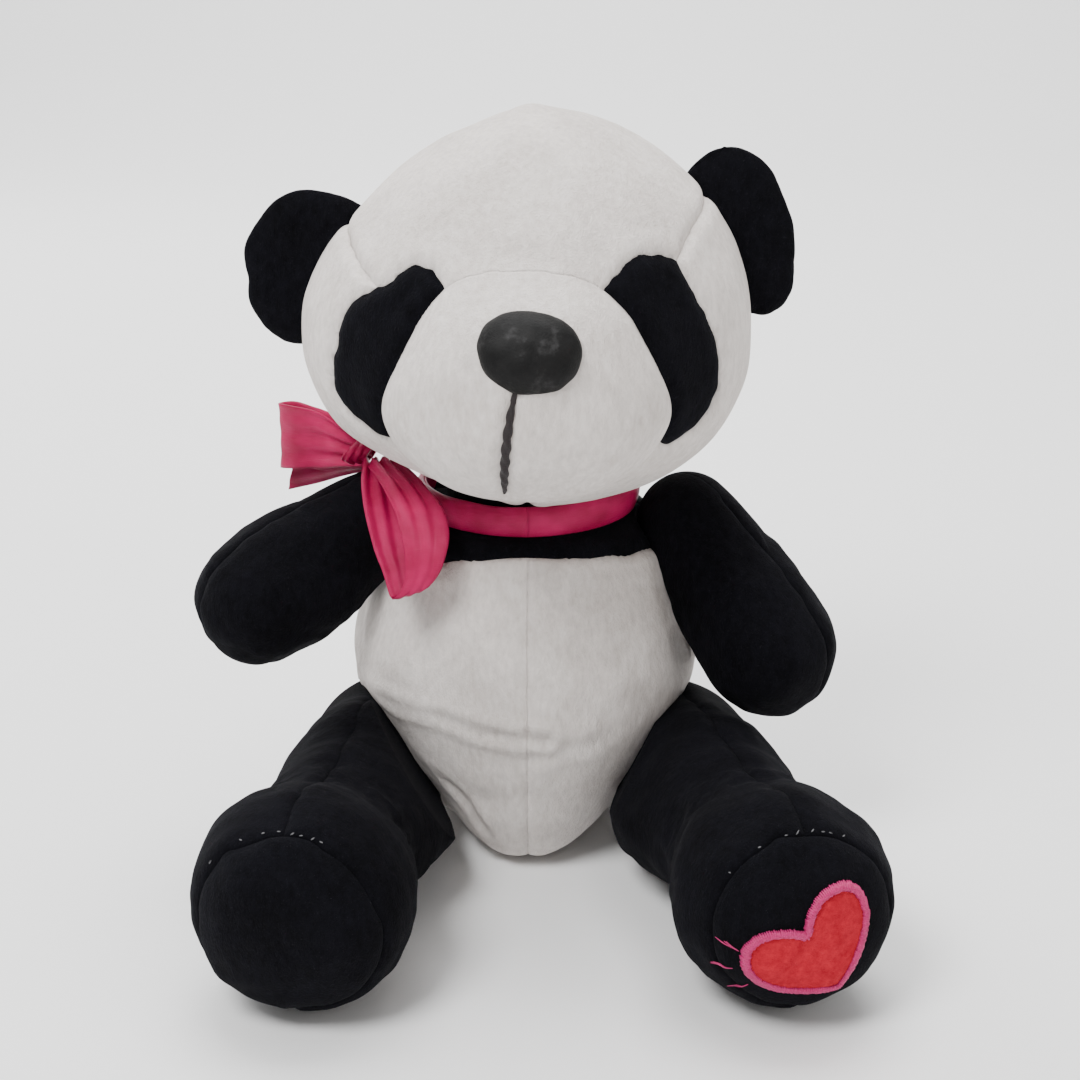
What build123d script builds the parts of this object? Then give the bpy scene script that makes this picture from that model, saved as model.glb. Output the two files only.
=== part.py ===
"""Seated plush panda with a satin neck ribbon. Units are millimetres.

The panda sits on the floor plane z = 0 and faces -Y. +X is the panda's own left.
"""

import os
from math import asin, cos, degrees, radians, sin, sqrt

from build123d import *

os.makedirs("parts", exist_ok=True)

# Driving dimensions
FABRIC = 1.6             # short pile plush with its backing
CLEAR = 0.6              # free gap round every jointed limb root

HEAD_C = (0, -12, 175.5)   # head ball, revolved about a sideways axis
HEAD_HALF = 67.2
HEAD_R = 60.0
EAR_SEAM_Y = -4          # ear-to-ear seam between face and back of head

MUZZLE_C = (0, -52, 167)
MUZZLE_HALF = 42.5
MUZZLE_R = 39.0

NOSE_C = (0, -83, 178.5)
NOSE_TILT = 30
NOSE_HALF = 13.2
NOSE_R = 11.2

NECK_C = (0, -8, 116.5)
NECK_PLUG_R = 12.5

BASE_R = 24              # flat seat face
TORSO_R = 53
TORSO_WIDE_Z = 52
CHEST_R = 41
NECK_R = 30
NECK_LINE_Z = 109.5
NECK_TOP_Z = 113.5
TORSO_Y = -2
SIDE_SEAM_Y = 2.5
CHEST_SEAM_Z = 104

SHOULDER = {"left": (50, -9, 105.5), "right": (-48, -9, 106)}
HAND = {"left": (77, -29, 69.5), "right": (-85, -30, 86)}
ARM_ROOT_R = 16
ARM_PLUG_R = 8
HAND_R = {"left": 20, "right": 19.5}

HIP = {"left": (48, -9, 27), "right": (-46, -9, 29)}
FOOT = {"left": (71, -111, 31.4), "right": (-62, -112, 31.4)}
HIP_R = 22
HIP_PLUG_R = 12
ANKLE_R = 23.5
FOOT_R = 32          # the round foot
LEG_LIFT = {"left": 5, "right": 20}  # degrees each leg can rise
LIFT_ROOM = 0.7          # extra gap round a raised leg
SOLE_AT = 18             # sole seam, ahead of the foot centre

EAR_THICK = 9
EAR_GAP = 1.6
EAR_R = 24
EARS = {"left": (57.5, 192.5), "right": (-61, 186)}

BAND_Z = (109.6, 117.2)
BAND_R = 32.2
RIBBON = 1.0
KNOT_C = (-52, -8, 127.6)


# Helper forms
def spheroid(half, radius):
    """Ball stretched along X, centred on the origin."""
    flat = half - radius
    with BuildPart() as body:
        with BuildSketch(Plane.XY):
            with BuildLine():
                Line((-half, 0), (half, 0))
                ThreePointArc((half, 0), (flat + radius * 0.6, radius * 0.8), (flat, radius))
                Line((flat, radius), (-flat, radius))
                ThreePointArc((-flat, radius), (-flat - radius * 0.6, radius * 0.8), (-half, 0))
            make_face()
        revolve(axis=Axis.X)
    return body.part


def ball(radius):
    """Sphere centred on the origin."""
    with BuildPart() as solid:
        Sphere(radius)
    return solid.part


def place(form, at):
    """Copy of a form moved to a point."""
    return form.moved(Location(at))


def limb_plane(root, tip):
    """Plane at the root of a limb whose X runs to the tip and whose Y is level."""
    along = Vector(*tip) - Vector(*root)
    level = Vector(0, 0, 1).cross(along)
    return Plane(origin=root, x_dir=along, z_dir=along.cross(level))


def gap_between(a, b):
    """Straight distance between two points."""
    return sqrt(sum((p - q) ** 2 for p, q in zip(a, b)))


def arc_point(centre, radius, angle):
    """Point on a circle centred on the X axis, angle in degrees from +X."""
    return (centre + radius * cos(radians(angle)), radius * sin(radians(angle)))


def arm_form(length, root_r, hand_r):
    """Tapered arm along X with a ball root on the origin and a round hand."""
    lean = 90 - degrees(asin((root_r - hand_r) / length))
    with BuildPart() as limb:
        with BuildSketch(Plane.XY):
            with BuildLine():
                ThreePointArc(
                    (-root_r, 0),
                    arc_point(0, root_r, (180 + lean) / 2),
                    arc_point(0, root_r, lean),
                )
                Line(arc_point(0, root_r, lean), arc_point(length, hand_r, lean))
                ThreePointArc(
                    arc_point(length, hand_r, lean),
                    arc_point(length, hand_r, lean / 2),
                    (length + hand_r, 0),
                )
                Line((length + hand_r, 0), (-root_r, 0))
            make_face()
        revolve(axis=Axis.X)
    return limb.part


def leg_form(length, grow=0.0):
    """Leg along X: ball root on the origin, narrower ankle, round foot."""
    hip_r = HIP_R + grow
    foot_r = FOOT_R + grow
    ankle_r = ANKLE_R + grow
    meet = length - sqrt(foot_r**2 - ankle_r**2)
    lean = 90 - degrees(asin((hip_r - ankle_r) / meet))
    wrist = degrees(asin(ankle_r / foot_r))
    with BuildPart() as limb:
        with BuildSketch(Plane.XY):
            with BuildLine():
                ThreePointArc(
                    (-hip_r, 0),
                    arc_point(0, hip_r, (180 + lean) / 2),
                    arc_point(0, hip_r, lean),
                )
                Line(arc_point(0, hip_r, lean), (meet, ankle_r))
                ThreePointArc(
                    (meet, ankle_r),
                    arc_point(length, foot_r, (180 - wrist) / 2),
                    (length + foot_r, 0),
                )
                Line((length + foot_r, 0), (-hip_r, 0))
            make_face()
        revolve(axis=Axis.X)
    return limb.part


def torso_form(inset):
    """Body solid inside the fabric face by an inset."""
    with BuildPart() as body:
        with BuildSketch(Plane.XZ):
            with BuildLine():
                base = (BASE_R, inset)
                waist = (TORSO_R - inset, TORSO_WIDE_Z)
                chest = (CHEST_R - inset, CHEST_SEAM_Z - 4)
                neck = (NECK_R - inset, NECK_LINE_Z)
                top = (NECK_R - inset, NECK_TOP_Z - inset)
                Line((0, inset), base)
                ThreePointArc(base, (TORSO_R - 9 - inset * 0.8, 19), waist)
                ThreePointArc(waist, (TORSO_R - 4 - inset, 80), chest)
                Line(chest, neck)
                Line(neck, top)
                Line(top, (0, NECK_TOP_Z - inset))
                Line((0, NECK_TOP_Z - inset), (0, inset))
            make_face()
        revolve(axis=Axis.Z)
    return place(body.part, (0, TORSO_Y, 0))


def prism(points, y_near, y_far):
    """Polygon in the XZ plane pushed through from one Y to another."""
    with BuildPart() as block:
        with BuildSketch(Plane.XZ.offset(-y_near)):
            with BuildLine():
                Polyline(*points, close=True)
            make_face()
        extrude(amount=y_near - y_far)
    return block.part


def slab(x_range, y_range, z_range):
    """Box between pairs of limits."""
    size = [b - a for a, b in (x_range, y_range, z_range)]
    with BuildPart() as block:
        Box(*size)
    middle = [(a + b) / 2 for a, b in (x_range, y_range, z_range)]
    return place(block.part, tuple(middle))


def keep(name, body, cuts=(), common=()):
    """Cut and trim a form in builder mode, label it and write it out."""
    with BuildPart() as made:
        add(body)
        for tool in common:
            add(tool, mode=Mode.INTERSECT)
        for tool in cuts:
            add(tool, mode=Mode.SUBTRACT)
    solid = max(made.part.solids(), key=lambda piece: piece.volume)
    solid.label = name
    export_step(solid, f"parts/{name}.step")
    return solid


BIG = 400

# Head: face panels, back panels, eye patches, muzzle
head_outer = place(spheroid(HEAD_HALF, HEAD_R), HEAD_C)
head_inner = place(spheroid(HEAD_HALF - FABRIC, HEAD_R - FABRIC), HEAD_C)
muzzle_outer = place(spheroid(MUZZLE_HALF, MUZZLE_R), MUZZLE_C)
muzzle_inner = place(spheroid(MUZZLE_HALF - FABRIC, MUZZLE_R - FABRIC), MUZZLE_C)
neck_socket = place(ball(NECK_PLUG_R + CLEAR), NECK_C)

front_space = slab((-BIG, BIG), (-BIG, EAR_SEAM_Y), (0, BIG))
back_space = slab((-BIG, BIG), (EAR_SEAM_Y, BIG), (0, BIG))
cheek_outline = [(0, 90), (0, 165), (36, 184), (43, 198), (54, 210), (95, 222), (95, 90)]
patch_outline = [
    (20, 189),
    (26, 196),
    (33, 199.5),
    (43, 198),
    (49, 187),
    (54.5, 175),
    (57.5, 163),
    (56, 150),
    (50, 140),
    (42, 134),
    (34, 138),
    (34, 163),
]

shell_cuts = [head_inner, muzzle_outer, neck_socket]
patch_space = {}
cheek_space = {}
for side, sign in (("left", 1), ("right", -1)):
    patch_space[side] = prism([(sign * x, z) for x, z in patch_outline], -BIG, -20)
    cheek_space[side] = prism([(sign * x, z) for x, z in cheek_outline], -BIG, EAR_SEAM_Y)

for side, sign in (("left", 1), ("right", -1)):
    keep(f"eye_patch_{side}", head_outer, shell_cuts, [patch_space[side]])
    keep(f"cheek_{side}", head_outer, [*shell_cuts, patch_space[side]], [cheek_space[side]])
    half_space = slab((0, BIG), (-BIG, BIG), (0, BIG))
    if sign < 0:
        half_space = slab((-BIG, 0), (-BIG, BIG), (0, BIG))
    keep(f"head_back_{side}", head_outer, shell_cuts, [back_space, half_space])

forehead_cuts = [*shell_cuts, *patch_space.values(), *cheek_space.values()]
keep("forehead", head_outer, forehead_cuts, [front_space])
keep("muzzle", muzzle_outer, [muzzle_inner, head_outer])

with BuildPart() as head_stuffing:
    add(head_inner)
    add(muzzle_inner)
    add(neck_socket, mode=Mode.SUBTRACT)
head_stuffing.part.label = "head_stuffing"
export_step(head_stuffing.part, "parts/head_stuffing.step")

# Nose and stitched mouth
nose_turn = Location(NOSE_C, (-NOSE_TILT, 0, 0))
nose_outer = spheroid(NOSE_HALF, NOSE_R).moved(nose_turn)
nose_inner = spheroid(NOSE_HALF - 1.2, NOSE_R - 1.2).moved(nose_turn)
keep("nose_cover", nose_outer, [nose_inner, muzzle_outer])
keep("nose_pad", nose_inner, [muzzle_outer])

mouth_outline = [(-2.2, 168), (-5.0, 152), (-5.2, 139), (-6.4, 139), (-7.4, 152), (-4.0, 168)]
thread_skin = place(spheroid(MUZZLE_HALF + 0.8, MUZZLE_R + 0.8), MUZZLE_C)
keep("mouth_stitch", thread_skin, [muzzle_outer, nose_outer], [prism(mouth_outline, -BIG, -60)])

# Ears, each of two panels
ear_gap_form = place(spheroid(HEAD_HALF + EAR_GAP, HEAD_R + EAR_GAP), HEAD_C)
for side, (x_at, z_at) in EARS.items():
    with BuildPart() as ear_form:
        with BuildSketch(Plane.XZ.offset(-EAR_SEAM_Y - EAR_THICK / 2)):
            with Locations((x_at, z_at)):
                Circle(EAR_R)
        extrude(amount=EAR_THICK)
        fillet(ear_form.edges(), EAR_THICK * 0.4)
        add(ear_gap_form, mode=Mode.SUBTRACT)
    keep(f"ear_{side}_front", ear_form.part, [back_space])
    keep(f"ear_{side}_back", ear_form.part, [front_space])

# Neck plug: stuffing that fills the neck opening
keep("neck_plug", place(ball(NECK_PLUG_R), NECK_C))

# Limbs
limb_sockets = []
limbs = {}
for side in ("left", "right"):
    plane = limb_plane(SHOULDER[side], HAND[side])
    length = gap_between(SHOULDER[side], HAND[side])
    arm = arm_form(length, ARM_ROOT_R, HAND_R[side]).moved(plane.location)
    limb_sockets.append(arm_form(length, ARM_ROOT_R + CLEAR, HAND_R[side] + CLEAR).moved(plane.location))
    arm_fill = arm_form(length, ARM_ROOT_R - FABRIC, HAND_R[side] - FABRIC)
    arm_fill = arm_fill.moved(plane.location)
    front_half = slab((-BIG, BIG), (-BIG, 0), (-BIG, BIG)).moved(plane.location)
    back_half = slab((-BIG, BIG), (0, BIG), (-BIG, BIG)).moved(plane.location)
    keep(f"shoulder_{side}_plug", place(ball(ARM_PLUG_R), SHOULDER[side]))
    keep(f"arm_{side}_outer", arm, [arm_fill, front_half])
    keep(f"arm_{side}_inner", arm, [arm_fill, back_half])
    keep(f"arm_{side}_stuffing", arm_fill, [place(ball(ARM_PLUG_R + CLEAR), SHOULDER[side])])

    plane = limb_plane(HIP[side], FOOT[side])
    length = gap_between(HIP[side], FOOT[side])
    leg = leg_form(length).moved(plane.location)
    leg_fill = leg_form(length, -FABRIC).moved(plane.location)
    half_a = slab((-BIG, BIG), (-BIG, 0), (-BIG, BIG)).moved(plane.location)
    half_b = slab((-BIG, BIG), (0, BIG), (-BIG, BIG)).moved(plane.location)
    sole_space = slab((length + SOLE_AT, BIG), (-BIG, BIG), (-BIG, BIG)).moved(plane.location)
    limb_sockets.append(leg_form(length, CLEAR).moved(plane.location))
    for share in (0.5, 1):
        raised = plane.location * Location((0, 0, 0), (0, -LEG_LIFT[side] * share, 0))
        limb_sockets.append(leg_form(length, CLEAR + LIFT_ROOM * share).moved(raised))
    under = slab((-BIG, BIG), (-BIG, BIG), (-BIG, 0))
    under_fill = slab((-BIG, BIG), (-BIG, BIG), (-BIG, FABRIC))
    keep(f"hip_{side}_plug", place(ball(HIP_PLUG_R), HIP[side]))
    fill_cut = [under_fill, place(ball(HIP_PLUG_R + CLEAR), HIP[side])]
    keep(f"leg_{side}_stuffing", leg_fill, fill_cut)
    core = [leg_fill.cut(under_fill), under, sole_space]
    keep(f"leg_{side}_outer", leg, [*core, half_a if side == "left" else half_b])
    keep(f"leg_{side}_inner", leg, [*core, half_b if side == "left" else half_a])
    keep(f"sole_{side}", leg, [leg_fill.cut(under_fill), under], [sole_space])
    limbs[side] = {"plane": plane, "length": length, "leg": leg}

# Heart patch with a satin edge on the left sole
heart_plane = limbs["left"]["plane"]
heart_at = limbs["left"]["length"]
heart_skin = leg_form(heart_at, 0.9)
edge_skin = leg_form(heart_at, 1.3)
HEART_AT = (0.5, -3.5)
HEART_LEAN = 30


def heart_prism(grow):
    """Heart outline pushed forward through the sole."""
    face_plane = Plane(origin=(heart_at + 5, 0, 0), x_dir=(0, 1, 0), z_dir=(1, 0, 0))
    with BuildPart() as block:
        with BuildSketch(face_plane):
            with Locations(Location((HEART_AT[0], HEART_AT[1], 0), (0, 0, HEART_LEAN))):
                with Locations((-8.8, 3.5), (8.8, 3.5)):
                    Circle(9.4 + grow)
                with BuildLine():
                    spread = 16.6 + grow
                    Line((-spread, -1), (0, -16 - grow))
                    Line((0, -16 - grow), (spread, -1))
                    Line((spread, -1), (0, 7))
                    Line((0, 7), (-spread, -1))
                make_face()
        extrude(amount=60)
    return block.part.moved(heart_plane.location)


heart_inner = heart_prism(-0.7)
foot_form = limbs["left"]["leg"]
keep("heart_patch", heart_skin.moved(heart_plane.location), [foot_form], [heart_inner])
keep(
    "heart_edging",
    edge_skin.moved(heart_plane.location),
    [foot_form, heart_inner],
    [heart_prism(0.7)],
)

# Torso: chest yoke, two belly panels, two back panels, stuffing
torso_outer = torso_form(0)
torso_inner = torso_form(FABRIC)
torso_cuts = [torso_inner, neck_socket, *limb_sockets]
chest_space = slab((-BIG, BIG), (-BIG, SIDE_SEAM_Y), (CHEST_SEAM_Z, BIG))
keep("chest_yoke", torso_outer, torso_cuts, [chest_space])
for side, x_range in (("left", (0, BIG)), ("right", (-BIG, 0))):
    belly_space = slab(x_range, (-BIG, SIDE_SEAM_Y), (-1, CHEST_SEAM_Z))
    rear_space = slab(x_range, (SIDE_SEAM_Y, BIG), (-1, BIG))
    keep(f"belly_{side}", torso_outer, torso_cuts, [belly_space])
    keep(f"back_{side}", torso_outer, torso_cuts, [rear_space])
keep("torso_stuffing", torso_inner, [neck_socket, *limb_sockets])

# Ladder stitches that close the back seam
with BuildPart() as closing_stitches:
    for step in range(5):
        with Locations((0, TORSO_Y + TORSO_R, TORSO_WIDE_Z - 6 + 3.2 * step)):
            Box(3.2, 1.6, 0.8)
    add(torso_outer, mode=Mode.SUBTRACT)
closing_stitches.part.label = "closing_stitches"
export_step(closing_stitches.part, "parts/closing_stitches.step")

# Ribbon round the neck
with BuildPart() as ribbon_band:
    with BuildSketch(Plane.XY.offset(BAND_Z[0])):
        with Locations((0, TORSO_Y)):
            Circle(BAND_R)
            Circle(BAND_R - RIBBON, mode=Mode.SUBTRACT)
    extrude(amount=BAND_Z[1] - BAND_Z[0])
ribbon_band.part.label = "ribbon_band"
export_step(ribbon_band.part, "parts/ribbon_band.step")

# Bow: knot, side loop and hanging front loop
with BuildPart() as bow_knot:
    Box(8, 8, 5.6)
    fillet(bow_knot.edges(), 2)
keep("bow_knot", place(bow_knot.part, KNOT_C))


def ribbon_loop(reach, puff, width):
    """Flat closed loop of ribbon leaving the origin along +X, its width along Z."""
    with BuildPart() as loop:
        with BuildSketch(Plane.XY.offset(-width / 2)):
            with Locations((reach / 2, 0)):
                SlotOverall(reach, 2 * puff)
                SlotOverall(reach - 2 * RIBBON, 2 * puff - 2 * RIBBON, mode=Mode.SUBTRACT)
        extrude(amount=width)
    return loop.part


side_plane = Plane(origin=(-55.5, 4, 129), x_dir=(-0.97, 0.25, 0), z_dir=(0, 0, 1))
keep("bow_loop_side", ribbon_loop(25, 4, 18).moved(side_plane.location))

drop = Vector(0.17, -0.68, -0.71)
front_plane = Plane(origin=(-43.5, -26.5, 120.6), x_dir=drop, z_dir=(0.97, 0.24, 0.0023))
keep("bow_loop_front", ribbon_loop(37, 3.2, 13).moved(front_plane.location))
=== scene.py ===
"""Seated plush panda: plush panels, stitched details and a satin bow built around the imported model.

Shapes are worked out in millimetres, in the part's own frame, and turned into metres when a piece
is made. The panda faces -Y, +X is its own left and the floor is z = 0.
"""

import math
import bpy
import numpy as np
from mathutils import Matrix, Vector
from mathutils.bvhtree import BVHTree
from mathutils.kdtree import KDTree


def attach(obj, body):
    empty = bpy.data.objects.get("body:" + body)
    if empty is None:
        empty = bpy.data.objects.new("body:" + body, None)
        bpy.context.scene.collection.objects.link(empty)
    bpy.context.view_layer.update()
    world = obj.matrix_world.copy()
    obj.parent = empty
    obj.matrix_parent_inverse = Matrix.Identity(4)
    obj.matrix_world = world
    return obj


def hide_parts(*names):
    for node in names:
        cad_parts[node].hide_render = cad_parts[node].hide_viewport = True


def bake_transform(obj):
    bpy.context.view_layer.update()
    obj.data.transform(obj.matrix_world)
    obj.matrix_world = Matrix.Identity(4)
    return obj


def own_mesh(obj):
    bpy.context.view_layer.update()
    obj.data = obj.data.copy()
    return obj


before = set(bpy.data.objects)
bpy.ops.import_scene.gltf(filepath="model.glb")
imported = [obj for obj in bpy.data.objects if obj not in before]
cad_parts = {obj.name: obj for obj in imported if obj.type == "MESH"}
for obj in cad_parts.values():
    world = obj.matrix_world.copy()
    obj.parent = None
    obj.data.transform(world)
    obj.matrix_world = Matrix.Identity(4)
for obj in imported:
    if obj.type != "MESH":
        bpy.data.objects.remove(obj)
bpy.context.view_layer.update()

MM = 0.001
FABRIC = 1.4          # plush with its backing
SEAM_DEPTH = 1.1
SEAM_WIDTH = 1.5
SWELL_AT = 4.5        # how far beside a seam the fabric swells
SWELL_WIDTH = 2.6
SIDES = (("left", 1), ("right", -1))


# ---------------------------------------------------------------- numbers and curves
def array(points):
    return np.array(points, float)


def unit(vectors):
    length = np.linalg.norm(vectors, axis=-1, keepdims=True)
    return vectors / np.maximum(length, 1e-9)


def step(value, low, high):
    """Smooth step from 0 at low to 1 at high."""
    t = np.clip((value - low) / (high - low), 0, 1)
    return t * t * (3 - 2 * t)


def bump(value, middle, width):
    return np.exp(-(((value - middle) / width) ** 2))


def smooth(knots, x, cyclic=0):
    """Smooth curve through (x, value) knots; cyclic is the period, or 0."""
    knots = sorted(knots)
    if cyclic:
        before = [(a - cyclic, b) for a, b in knots[-3:]]
        after = [(a + cyclic, b) for a, b in knots[:3]]
        knots = before + knots + after
        x = np.mod(x, cyclic)
    k = array(knots)
    slope = np.gradient(k[:, 1], k[:, 0])
    x = np.clip(x, k[0, 0], k[-1, 0])
    i = np.clip(np.searchsorted(k[:, 0], x, side="right") - 1, 0, len(k) - 2)
    h = k[i + 1, 0] - k[i, 0]
    t = (x - k[i, 0]) / h
    a, b = k[i, 1], k[i + 1, 1]
    return (
        a * (2 * t**3 - 3 * t**2 + 1)
        + slope[i] * h * (t**3 - 2 * t**2 + t)
        + b * (3 * t**2 - 2 * t**3)
        + slope[i + 1] * h * (t**3 - t**2)
    )


def path(points, count):
    """Evenly spaced points on a smooth line through the given points."""
    p = array(points)
    along = np.concatenate([[0], np.cumsum(np.linalg.norm(np.diff(p, axis=0), axis=1))])
    dense = np.linspace(0, along[-1], count * 8)
    line = np.stack([smooth(list(zip(along, p[:, k])), dense) for k in range(p.shape[1])], 1)
    true = np.concatenate([[0], np.cumsum(np.linalg.norm(np.diff(line, axis=0), axis=1))])
    even = np.linspace(0, true[-1], count)
    return np.stack([np.interp(even, true, line[:, k]) for k in range(p.shape[1])], 1)


def closed(outline, count):
    """Evenly spaced points on a smooth closed line through the outline."""
    return path([*outline, outline[0]], count + 1)[:-1]


def lumps(points, size, seed, octaves=3):
    """Soft repeatable noise between about -1 and 1, with features of a given size."""
    rng = np.random.default_rng(seed)
    total = np.zeros(len(points))
    weight = 0
    for octave in range(octaves):
        for _ in range(6):
            way = unit(rng.normal(size=3))
            shift = rng.uniform(0, 2 * math.pi)
            pitch = 2 * math.pi / size * 2**octave * rng.uniform(0.7, 1.3)
            total += np.sin(points @ way * pitch + shift) * 0.6**octave
        weight += 2.2 * 0.6**octave
    return total / weight


def inside(points, outline):
    """Which 2-D points are inside a closed outline."""
    x, y = points[:, 0], points[:, 1]
    hit = np.zeros(len(points), bool)
    for (x0, y0), (x1, y1) in zip(outline, np.roll(outline, -1, axis=0)):
        crosses = (y0 > y) != (y1 > y)
        at = (x1 - x0) * (y - y0) / (y1 - y0 + 1e-12) + x0
        hit ^= crosses & (x < at)
    return hit


# ---------------------------------------------------------------- grids and meshes
def grid_quads(index):
    """Quads of a grid, from the numbers of its points."""
    return np.stack([index[:-1, :-1], index[1:, :-1], index[1:, 1:], index[:-1, 1:]], -1).reshape(-1, 4)


def ball_grid(n):
    """Unit vectors and outward quads of an n by n cube blown up to a ball."""
    t = np.tan(np.linspace(-1, 1, n + 1) * math.pi / 4)
    a, b = np.meshgrid(t, t, indexing="ij")
    points, quads = [], []
    for axis in range(3):
        for sign in (-1, 1):
            p = np.zeros((n + 1, n + 1, 3))
            p[..., axis] = sign
            p[..., (axis + 1) % 3] = a
            p[..., (axis + 2) % 3] = b
            first = len(points) * (n + 1) ** 2
            quad = grid_quads(np.arange((n + 1) ** 2).reshape(n + 1, n + 1) + first)
            quads.append(quad if sign > 0 else quad[:, ::-1])
            points.append(unit(p).reshape(-1, 3))
    every = np.concatenate(points)
    _, keep, back = np.unique(np.round(every, 6), axis=0, return_index=True, return_inverse=True)
    return every[keep], back.reshape(-1)[np.concatenate(quads)]


def tube_grid(rings, around):
    """Quads between the rings of a tube, open at both ends."""
    quads = []
    k = np.arange(around)
    nxt = (k + 1) % around
    for r in range(rings - 1):
        low, high = r * around, (r + 1) * around
        quads.append(np.stack([low + k, low + nxt, high + nxt, high + k], 1))
    return np.concatenate(quads)


def capped(rings, around):
    """Faces of a tube of rings, closed by fans to two more points, one for each end."""
    faces = [list(quad) for quad in tube_grid(rings, around)]
    first, last = rings * around, rings * around + 1
    end = (rings - 1) * around
    for k in range(around):
        nxt = (k + 1) % around
        faces.append([first, nxt, k])
        faces.append([last, end + k, end + nxt])
    return faces


def cast(start, ways, field, reach=180.0, halvings=34):
    """Where rays from a point leave the shape that a field describes (below 1 is inside)."""
    low, high = np.zeros(len(ways)), np.full(len(ways), reach)
    for _ in range(halvings):
        mid = (low + high) / 2
        within = field(start + ways * mid[:, None]) < 1
        low, high = np.where(within, mid, low), np.where(within, high, mid)
    return start + ways * low[:, None]


def normals(points, faces):
    """Outward vertex normals of a closed mesh of quads or triangles."""
    p = points[faces]
    if faces.shape[1] == 4:
        n = np.cross(p[:, 2] - p[:, 0], p[:, 3] - p[:, 1])
    else:
        n = np.cross(p[:, 1] - p[:, 0], p[:, 2] - p[:, 0])
    total = np.zeros_like(points)
    for corner in range(faces.shape[1]):
        np.add.at(total, faces[:, corner], n)
    _, same = np.unique(np.round(points, 3), axis=0, return_inverse=True)
    shared = np.zeros((same.max() + 1, 3))
    np.add.at(shared, same.reshape(-1), total)
    return unit(shared[same.reshape(-1)])


def outward(points, faces, inner):
    """Faces turned so that their normals point away from the inside."""
    n = normals(points, faces)
    return faces if np.einsum("ij,ij->i", n, points - inner).mean() > 0 else faces[:, ::-1]


def rim_edges(faces, labels):
    """Edges between differently labelled faces, as pairs of vertices."""
    count = faces.shape[1]
    pairs = np.concatenate([faces[:, [k, (k + 1) % count]] for k in range(count)])
    owner = np.tile(np.arange(len(faces)), count)
    key = np.sort(pairs, axis=1)
    order = np.lexsort((key[:, 1], key[:, 0]))
    key, owner = key[order], owner[order]
    same = np.all(key[1:] == key[:-1], axis=1)
    differ = labels[owner[1:]] != labels[owner[:-1]]
    return key[1:][same & differ]


def relax_rims(points, faces, labels, rounds=10, strength=0.5):
    """Smooth the lines where panels meet, without moving anything else."""
    edges = rim_edges(faces, labels)
    count = np.bincount(edges.reshape(-1), minlength=len(points))
    on = count == 2
    for _ in range(rounds):
        total = np.zeros_like(points)
        np.add.at(total, edges[:, 0], points[edges[:, 1]])
        np.add.at(total, edges[:, 1], points[edges[:, 0]])
        mean = total[on] / count[on][:, None]
        points[on] += (mean - points[on]) * strength
    return edges


def near(points, targets):
    """Distance from each point to the nearest target."""
    tree = KDTree(len(targets))
    for i, t in enumerate(targets):
        tree.insert(t, i)
    tree.balance()
    return np.array([tree.find(p)[2] for p in points])


def sink_seams(points, faces, edges, depth=SEAM_DEPTH, width=SEAM_WIDTH, puff=0.35):
    """Pull the surface in along seam edges, and let it swell a little beside them."""
    if not len(edges):
        return points
    n = normals(points, faces)
    far = near(points, points[np.unique(edges)])
    move = depth * (puff / SEAM_DEPTH * bump(far, SWELL_AT, SWELL_WIDTH) - bump(far, 0, width))
    return points + n * move[:, None]


def groove(points, faces, line, depth, width, shoulder=0.0):
    """Pull a crease into the surface along a line, with a soft swelling below it."""
    n = normals(points, faces)
    far = near(points, path(line, 60))
    move = shoulder * bump(far, 2.2 * width, width) - depth * bump(far, 0, width)
    return points + n * move[:, None]


def make(name, points, faces, material, body):
    """A Blender piece from points in millimetres, which stands for the CAD node of its name if there is one.

    Its one material slot holds the given material.
    """
    stands_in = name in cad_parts
    title = f"{name}_cloth" if stands_in else name
    mesh = bpy.data.meshes.new(title)
    mesh.from_pydata((np.asarray(points) * MM).tolist(), [], [list(map(int, f)) for f in faces])
    mesh.update()
    mesh.polygons.foreach_set("use_smooth", [True] * len(mesh.polygons))
    mesh.materials.append(material)
    piece = bpy.data.objects.new(title, mesh)
    bpy.context.scene.collection.objects.link(piece)
    if body:
        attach(piece, body)
    if stands_in:
        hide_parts(name)
    return piece


def shell(name, points, faces, inner, material, body):
    """Closed piece of fabric from a patch of outer faces and the matching inner points."""
    used, local = np.unique(faces, return_inverse=True)
    local = local.reshape(faces.shape)
    count = len(used)
    pairs = np.concatenate([local[:, [k, (k + 1) % local.shape[1]]] for k in range(local.shape[1])])
    key = np.sort(pairs, axis=1)
    _, index, times = np.unique(key, axis=0, return_index=True, return_counts=True)
    rim = pairs[index[times == 1]]
    walls = np.stack([rim[:, 1], rim[:, 0], rim[:, 0] + count, rim[:, 1] + count], 1)
    every = [*local.tolist(), *(local[:, ::-1] + count).tolist(), *walls.tolist()]
    return make(name, np.concatenate([points[used], inner[used]]), every, material, body)


def panels(points, faces, labels, table, body, thickness=FABRIC):
    """Split a closed mesh into fabric panels. A label is a place in the table of (name, material)."""
    inner = points - normals(points, faces) * thickness
    pieces = []
    for label, (name, material) in enumerate(table):
        piece = shell(name, points, faces[labels == label], inner, material, body)
        pieces.append(piece)
    return pieces


def fill(name, points, faces, body, depth=FABRIC + 0.7):
    """Stuffing inside a fabric form."""
    make(name, points - normals(points, faces) * depth, faces, STUFFING, body)


# ---------------------------------------------------------------- materials
def material(name, color, roughness=0.9):
    made = bpy.data.materials.new(name)
    made.use_nodes = True
    tree = made.node_tree
    shader = tree.nodes["Principled BSDF"]
    shader.inputs["Base Color"].default_value = (*color, 1)
    shader.inputs["Roughness"].default_value = roughness
    return made, tree, shader


def link(tree, a, b):
    tree.links.new(a, b)


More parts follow.
